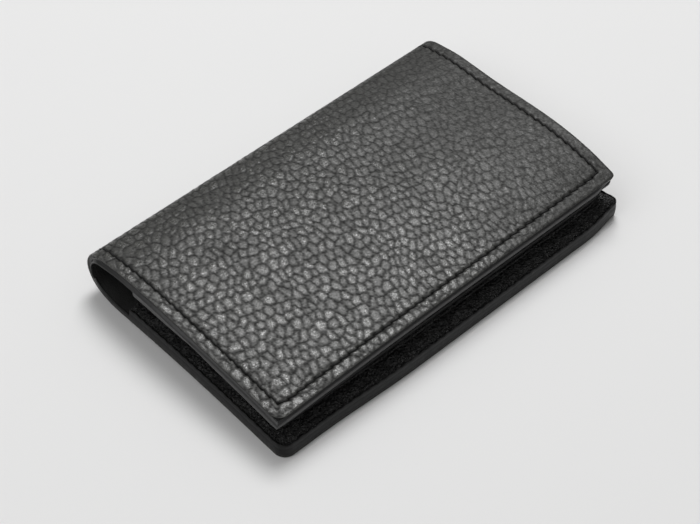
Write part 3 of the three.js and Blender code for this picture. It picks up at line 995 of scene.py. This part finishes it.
def slip_place(a, x, depth):
    """The pocket on the front cover, drawn in at its right end so that the cover's edge hides it."""
    return from_front(a, x - DRAWN_IN * ease(x, HALF_LENGTH - DRAWN_IN_REACH, HALF_LENGTH), depth)


slip_piece = sheet_object("front_slip_pocket", slip, slip_place, slip_face, False, [LINING, PAINT], 1)
finish_piece(slip_piece, ["front_pocket_panel"], body="front_cover")

slip_mouth_a = slip_length - MOUTH_SEAM_INSET
slip_mouth_depth = slip_inner + float(slip_sag(slip_mouth_a)) - 0.1
slip_mouth = stitch_places(np.array([(slip_mouth_a, -seam_x), (slip_mouth_a, seam_x)]), STITCH_PITCH)


def on_slip_mouth(a, x, depth):
    """The stitches face the inside of the case here, so their depths run the other way."""
    return from_front(a, x, 2 * slip_mouth_depth - depth)


mouth_row = stitches(
    "front_slip_pocket_stitches", on_slip_mouth, *slip_mouth, slip_mouth_depth, THREAD, flip=False
)
finish_piece(mouth_row, ["front_pocket_mouth_seam"], body="front_cover")

# ---- Card pocket ----
panel_half = panel_high[0]
panel_length = panel_high[1] - panel_low[1]
panel_top = panel_high[2]
pocket_lining_low, pocket_lining_high = node_box("card_pocket_lining")
LAYER_GAP = 0.02
PANEL_BACK = panel_top - pocket_lining_high[2] - LAYER_GAP
PANEL_DEPTH = panel_top - pocket_lining_low[2]
PANEL_CORNERS, PANEL_MOUTH_CORNER = (2.4, 1.2), 0.8
PANEL_FACE_STEP = 0.4
PANEL_CURL = 0.35  # the panel takes on this share of the back cover's departures from flat
POCKET_LINING_INSET = 0.42
POCKET_LINING_CORNERS, POCKET_LINING_MOUTH_CORNER = (2.0, 0.8), 0.5
POCKET_LINING_STEP = 2.0
PANEL_RIM = [
    (-0.01, 0.34),
    (-0.07, 0.44),
    (-0.10, 0.52),
    (-0.04, 0.62),
    (0.0, 0.74),
    (0.02, 0.95),
    (0.02, 1.2),
    (0.0, 1.42),
    (-0.08, PANEL_DEPTH - 0.08),
    (-0.3, PANEL_DEPTH),
    (-0.42, PANEL_DEPTH - 0.12),
    (-0.44, PANEL_BACK),
]
PANEL_GRAIN_FROM = 200  # this panel is cut from another part of the hide


def on_panel(a, x, depth):
    """On the card pocket's panel: a runs from its sewn long edge to its mouth."""
    y, z = panel_low[1] + a, panel_top - depth
    return np.stack([x, y, z + PANEL_CURL * (back_settle(x, y, z) - z)], axis=-1)


panel_path = seam_path(panel_length, panel_half, PANEL_SEAM_INSET, SEAM_CORNERS)
panel_seam_x = panel_half - PANEL_SEAM_INSET
panel_mouth_a = panel_length - MOUTH_SEAM_INSET
panel_seam = stitch_places(panel_path, STITCH_PITCH)
mouth_seam = stitch_places(
    np.array([(panel_mouth_a, -panel_seam_x), (panel_mouth_a, panel_seam_x)]), STITCH_PITCH
)
panel_face, panel_grain_and_shade = strip_face(lambda a: a + PANEL_GRAIN_FROM, joined([panel_seam, mouth_seam]))
panel = Sheet(
    panel_length, panel_half, PANEL_FACE_STEP, PANEL_RIM, PANEL_CORNERS, far_corner=PANEL_MOUTH_CORNER
)
# The panel's edge takes the darker paint: painted shade, for it lies in the shadow between the covers.
panel_piece = sheet_object(
    "card_pocket_leather", panel, on_panel, panel_face, True, [PEBBLED, DULL_SHADED_PAINT], PAINT_STEP, panel_grain_and_shade
)
finish_piece(panel_piece, ["card_pocket_panel"], body="card_pocket")

panel_lining = Sheet(
    panel_length - 2 * POCKET_LINING_INSET,
    panel_half - POCKET_LINING_INSET,
    POCKET_LINING_STEP,
    [(0.0, PANEL_BACK + 2 * LAYER_GAP)],
    POCKET_LINING_CORNERS,
    far_corner=POCKET_LINING_MOUTH_CORNER,
    shift=POCKET_LINING_INSET,
)
lining_piece = sheet_object(
    "card_pocket_lining_sheet",
    panel_lining,
    on_panel,
    lambda a, x, inset: PANEL_DEPTH - LAYER_GAP + 0 * a,
    False,
    [LINING],
)
finish_piece(lining_piece, ["card_pocket_lining"], body="card_pocket")
for name, node, seam in (
    ("card_pocket_stitches", "card_pocket_seam_thread", panel_seam),
    ("card_pocket_mouth_stitches", "card_pocket_mouth_seam", mouth_seam),
):
    row = stitches(name, on_panel, *seam, PANEL_STITCH_DEPTH, THREAD, flip=True)
    finish_piece(row, [node], body="card_pocket")

# ---- Gusset ----
GUSSET_SECTION = [  # inset from the back cover's edge, and height
    (0.45, 3.0),
    (0.40, 3.7),
    (0.50, 4.30),
    (0.80, 4.52),
    (2.2, 4.85),
    (3.6, 5.2),
    (6.0, 5.35),
    (8.8, 5.42),
    (9.1, 5.6),
    (8.8, 5.78),
    (6.0, 5.8),
    (3.8, 5.9),
    (3.4, 6.2),
    (3.5, 6.5),
    (6.0, 6.53),
    (9.2, 6.50),
    (9.95, 6.1),
    (10.0, 5.6),
    (9.7, 4.9),
    (8.8, 4.55),
    (6.0, 4.45),
    (4.6, 4.0),
    (4.3, 3.0),
    (4.2, 2.14),
    (0.6, 2.14),
]
GUSSET_STATION = 0.9
SECTION_STEP = 0.5
SMALLEST_FLARE = 0.05
BROAD_CRUMPLE, FINE_CRUMPLE, PUCKER = 0.24, 0.2, 0.10
UPPER_FOLD_CALM = 0.35  # the folds under the panel crumple by this share only


def closed_section(points, step):
    """The section walked in even steps, its corners eased by a short average."""
    loop = np.array(points + points[:1])
    lengths = np.linalg.norm(np.diff(loop, axis=0), axis=1)
    along = np.concatenate([[0], np.cumsum(lengths)])
    walk = np.linspace(0, along[-1], int(along[-1] / step), endpoint=False)
    even = np.stack([np.interp(walk, along, loop[:, k]) for k in (0, 1)], axis=-1)
    return 0.25 * np.roll(even, 1, axis=0) + 0.5 * even + 0.25 * np.roll(even, -1, axis=0), walk


def gusset():
    """The folded leather walls: one section carried round three sides of the card pocket."""
    profile, around = closed_section(GUSSET_SECTION, SECTION_STEP)
    # Each side's path runs from the spine, round the corner, to the middle of the open edge.
    paths = []
    for sign, radius in zip((-1, 1), CORNERS):
        side = GUSSET_END_Y - BACK_EDGE_Y - radius
        bend = radius * math.pi / 2
        total = side + bend + HALF_LENGTH - radius
        walk = np.linspace(0, total, int(total / GUSSET_STATION))
        run, inset = np.meshgrid(walk, profile[:, 0], indexing="ij")
        corner, flare = np.maximum(inset, radius), np.maximum(radius - inset, SMALLEST_FLARE)
        turn = np.clip((run - side) / bend, 0, 1) * math.pi / 2
        share = np.clip((run - side - bend) / (HALF_LENGTH - radius), 0, 1)
        x = sign * ((HALF_LENGTH - corner) * (1 - share) + flare * np.cos(turn))
        reach = GUSSET_END_Y - BACK_EDGE_Y - corner
        y = GUSSET_END_Y - reach * np.clip(run / side, 0, 1) - flare * np.sin(turn)
        paths.append((run, x, y))
    (run, x, y), (run_right, x_right, y_right) = paths
    u = np.concatenate([run, run.max() + run_right.max() - run_right[-2::-1]])
    x = np.concatenate([x, x_right[-2::-1]])
    y = np.concatenate([y, y_right[-2::-1]])
    # The leather crumples, and its sewn ledge puckers with the stitches. Its glued foot stays flat.
    inset = np.broadcast_to(profile[:, 0], u.shape)
    height = np.broadcast_to(profile[:, 1], u.shape)
    loop = np.broadcast_to(around, u.shape)
    soft = ease(inset, 0.3, 1.2) * ease(height, 2.2, 3.4)
    broad, fine = noise(u / 2.3, loop / 1.6, 51), noise(u / 1.1, loop / 0.9, 52)
    crumple = BROAD_CRUMPLE * broad + FINE_CRUMPLE * fine
    puckers = PUCKER * np.cos(2 * math.pi * u / STITCH_PITCH + 1.5 * noise(u / 7, loop * 0, 53))
    ledge = np.exp(-(((inset - 1.6) / 1.3) ** 2)) * (height < 5.2) * (height > 4)
    calm = np.where(height < 5.5, 1, UPPER_FOLD_CALM)
    height = height + soft * (crumple * calm + puckers * ledge)
    points = np.stack([x, back_swell(x, y), back_settle(x, y, height)], axis=-1).reshape(-1, 3)
    rows, columns = u.shape
    index = np.arange(rows * columns).reshape(rows, columns)
    wrapped = np.hstack([index, index[:, :1]])
    quads = np.stack([wrapped[:-1, :-1], wrapped[:-1, 1:], wrapped[1:, 1:], wrapped[1:, :-1]], axis=-1)
    faces = quads.reshape(-1, 4).tolist() + [index[0][::-1].tolist(), index[-1].tolist()]
    made = make_object("gusset", points, faces, [SHADED_GUSSET], sharp=60)
    store(made, "flat", np.stack([u, loop, 0 * u], axis=-1).reshape(-1, 3))
    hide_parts("gusset_lower_flange", "gusset_bellows", "gusset_upper_flange")
    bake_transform(made)


gusset()

# ---- Camera ----
SENSOR_WIDTH, LENS = 36, 96.17
CAMERA_PLACE = Vector((-207.5, -221.8, 338.6)) * MM
CAMERA_AZIMUTH, CAMERA_ELEVATION = math.radians(-42.7), math.radians(48.47)
camera_data = bpy.data.cameras.new("camera")
camera = bpy.data.objects.new("camera", camera_data)
bpy.context.scene.collection.objects.link(camera)
camera_data.sensor_width = SENSOR_WIDTH
camera_data.lens = LENS
camera_data.clip_start = 0.01
level = math.cos(CAMERA_ELEVATION)
away = Vector(
    (math.sin(CAMERA_AZIMUTH) * level, -math.cos(CAMERA_AZIMUTH) * level, math.sin(CAMERA_ELEVATION))
)
camera.matrix_world = Matrix.Translation(CAMERA_PLACE) @ away.to_track_quat("Z", "Y").to_matrix().to_4x4()
bpy.context.scene.camera = camera

# ---- Studio, in metres ----
FLOOR_REACH = 3.0
PAPER_GREY = (0.715, 0.715, 0.715, 1)
SKY_HEIGHTS = (0.15, 0.75)  # the sine of the elevation where the walls end and the ceiling is full
SKY_STRENGTHS = (0.07, 0.38)


def paper_floor():
    """A plain pale sheet of paper under the case."""
    mesh = bpy.data.meshes.new("floor")
    corners = [(x * FLOOR_REACH, y * FLOOR_REACH, 0) for x, y in ((-1, -1), (1, -1), (1, 1), (-1, 1))]
    mesh.from_pydata(corners, [], [(0, 1, 2, 3)])
    floor = bpy.data.objects.new("floor", mesh)
    bpy.context.scene.collection.objects.link(floor)
    paper = Nodes("pale_paper")
    paper.put(paper.shader, "Base Color", PAPER_GREY)
    paper.put(paper.shader, "Roughness", 0.9)
    mesh.materials.append(paper.material)


def softbox(name, place, size, power):
    """A square area light that faces the case."""
    data = bpy.data.lights.new(name, "AREA")
    data.shape = "RECTANGLE"
    data.size = data.size_y = size
    data.energy = power
    light = bpy.data.objects.new(name, data)
    bpy.context.scene.collection.objects.link(light)
    light.location = place
    light.rotation_euler = (-Vector(place)).to_track_quat("-Z", "Y").to_euler()


paper_floor()
softbox("overhead", (0.405, 0.34, 1.08), 0.52, 10.4)
softbox("left_fill", (-0.75, 0.1, 1.0), 0.9, 4.0)


def studio_dome():
    """A soft white ceiling over darker walls."""
    world = bpy.data.worlds.new("studio")
    world.use_nodes = True
    nodes, links = world.node_tree.nodes, world.node_tree.links
    background = nodes["Background"]
    direction = nodes.new("ShaderNodeTexCoord")
    split = nodes.new("ShaderNodeSeparateXYZ")
    ramp = nodes.new("ShaderNodeMapRange")
    links.new(direction.outputs["Generated"], split.inputs[0])
    links.new(split.outputs["Z"], ramp.inputs["Value"])
    for name, number in zip(RANGE_SOCKETS, SKY_HEIGHTS + SKY_STRENGTHS):
        ramp.inputs[name].default_value = number
    links.new(ramp.outputs["Result"], background.inputs["Strength"])
    background.inputs["Color"].default_value = (1, 0.998, 0.992, 1)
    bpy.context.scene.world = world


studio_dome()
bpy.context.scene.view_settings.view_transform = "Standard"
